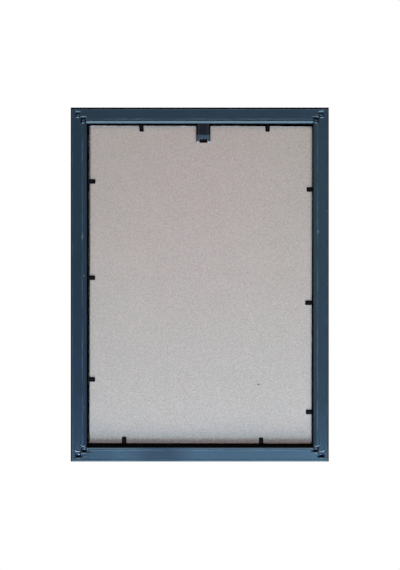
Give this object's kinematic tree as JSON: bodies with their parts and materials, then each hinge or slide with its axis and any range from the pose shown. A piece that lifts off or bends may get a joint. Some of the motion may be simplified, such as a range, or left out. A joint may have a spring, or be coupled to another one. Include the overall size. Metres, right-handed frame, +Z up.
{
  "type": "picture frame",
  "caption": "Portrait picture frame of mitred plastic moulding, with a backing board held by bendable tabs and a toothed hanger for one nail.",
  "frame": {"origin": "the point where the nail meets the wall: on the plane of the frame's back, at the edge of the hanger's notch that rests on the nail", "axes": "+Z up, +Y out of the back towards the wall, and the picture looks along -Y; as seen from the back, +X is to the left"},
  "size_m": [0.242, 0.016, 0.332],
  "materials": {
    "moulding": "satin dark slate blue",
    "nail_steel": "dull steel",
    "glass": "clear float glass",
    "paper": "off-white, matt",
    "fibreboard": "raw grey-beige fibreboard",
    "black_steel": "black lacquer"
  },
  "bodies": {
    "frame": {"rail_top": "moulding", "rail_bottom": "moulding", "rail_left": "moulding", "rail_right": "moulding", "corner_nail_top_left_outer": "nail_steel", "corner_nail_top_left_inner": "nail_steel", "corner_nail_bottom_right_outer": "nail_steel", "corner_nail_bottom_right_inner": "nail_steel", "corner_nail_bottom_left_outer": "nail_steel", "corner_nail_bottom_left_inner": "nail_steel", "corner_nail_top_right_outer": "nail_steel", "corner_nail_top_right_inner": "nail_steel", "pane": "glass", "picture_sheet": "paper", "backing_board": "fibreboard", "tab_root_top_left": "black_steel", "tab_root_top_right": "black_steel", "tab_root_bottom_left": "black_steel", "tab_root_bottom_right": "black_steel", "tab_root_left_upper": "black_steel", "tab_root_left_middle": "black_steel", "tab_root_left_lower": "black_steel", "tab_root_right_upper": "black_steel", "tab_root_right_middle": "black_steel", "tab_root_right_lower": "black_steel", "hanger": "black_steel"},
    "tab_top_left": {"tab_top_left": "black_steel"},
    "tab_top_right": {"tab_top_right": "black_steel"},
    "tab_bottom_left": {"tab_bottom_left": "black_steel"},
    "tab_bottom_right": {"tab_bottom_right": "black_steel"},
    "tab_left_upper": {"tab_left_upper": "black_steel"},
    "tab_left_middle": {"tab_left_middle": "black_steel"},
    "tab_left_lower": {"tab_left_lower": "black_steel"},
    "tab_right_upper": {"tab_right_upper": "black_steel"},
    "tab_right_middle": {"tab_right_middle": "black_steel"},
    "tab_right_lower": {"tab_right_lower": "black_steel"}
  },
  "joints": [
    {"name": "bend_top_left", "type": "hinge", "parent": "frame", "child": "tab_top_left", "pos_m": [0.05863, -0.006, 0.01375], "axis": [1, 0, 0], "range_deg": [0, 90]},
    {"name": "bend_top_right", "type": "hinge", "parent": "frame", "child": "tab_top_right", "pos_m": [-0.06052, -0.006, 0.01375], "axis": [1, 0, 0], "range_deg": [0, 90]},
    {"name": "bend_bottom_left", "type": "hinge", "parent": "frame", "child": "tab_bottom_left", "pos_m": [0.07463, -0.006, -0.28795], "axis": [-1, 0, 0], "range_deg": [0, 90]},
    {"name": "bend_bottom_right", "type": "hinge", "parent": "frame", "child": "tab_bottom_right", "pos_m": [-0.05437, -0.006, -0.28795], "axis": [-1, 0, 0], "range_deg": [0, 90]},
    {"name": "bend_left_upper", "type": "hinge", "parent": "frame", "child": "tab_left_upper", "pos_m": [0.10925, -0.006, -0.04001], "axis": [0, 0, -1], "range_deg": [0, 90]},
    {"name": "bend_left_middle", "type": "hinge", "parent": "frame", "child": "tab_left_middle", "pos_m": [0.10925, -0.006, -0.13076], "axis": [0, 0, -1], "range_deg": [0, 90]},
    {"name": "bend_left_lower", "type": "hinge", "parent": "frame", "child": "tab_left_lower", "pos_m": [0.10925, -0.006, -0.22664], "axis": [0, 0, -1], "range_deg": [0, 90]},
    {"name": "bend_right_upper", "type": "hinge", "parent": "frame", "child": "tab_right_upper", "pos_m": [-0.10245, -0.006, -0.04756], "axis": [0, 0, 1], "range_deg": [0, 90]},
    {"name": "bend_right_middle", "type": "hinge", "parent": "frame", "child": "tab_right_middle", "pos_m": [-0.10245, -0.006, -0.15431], "axis": [0, 0, 1], "range_deg": [0, 90]},
    {"name": "bend_right_lower", "type": "hinge", "parent": "frame", "child": "tab_right_lower", "pos_m": [-0.10245, -0.006, -0.2573], "axis": [0, 0, 1], "range_deg": [0, 90]}
  ]
}
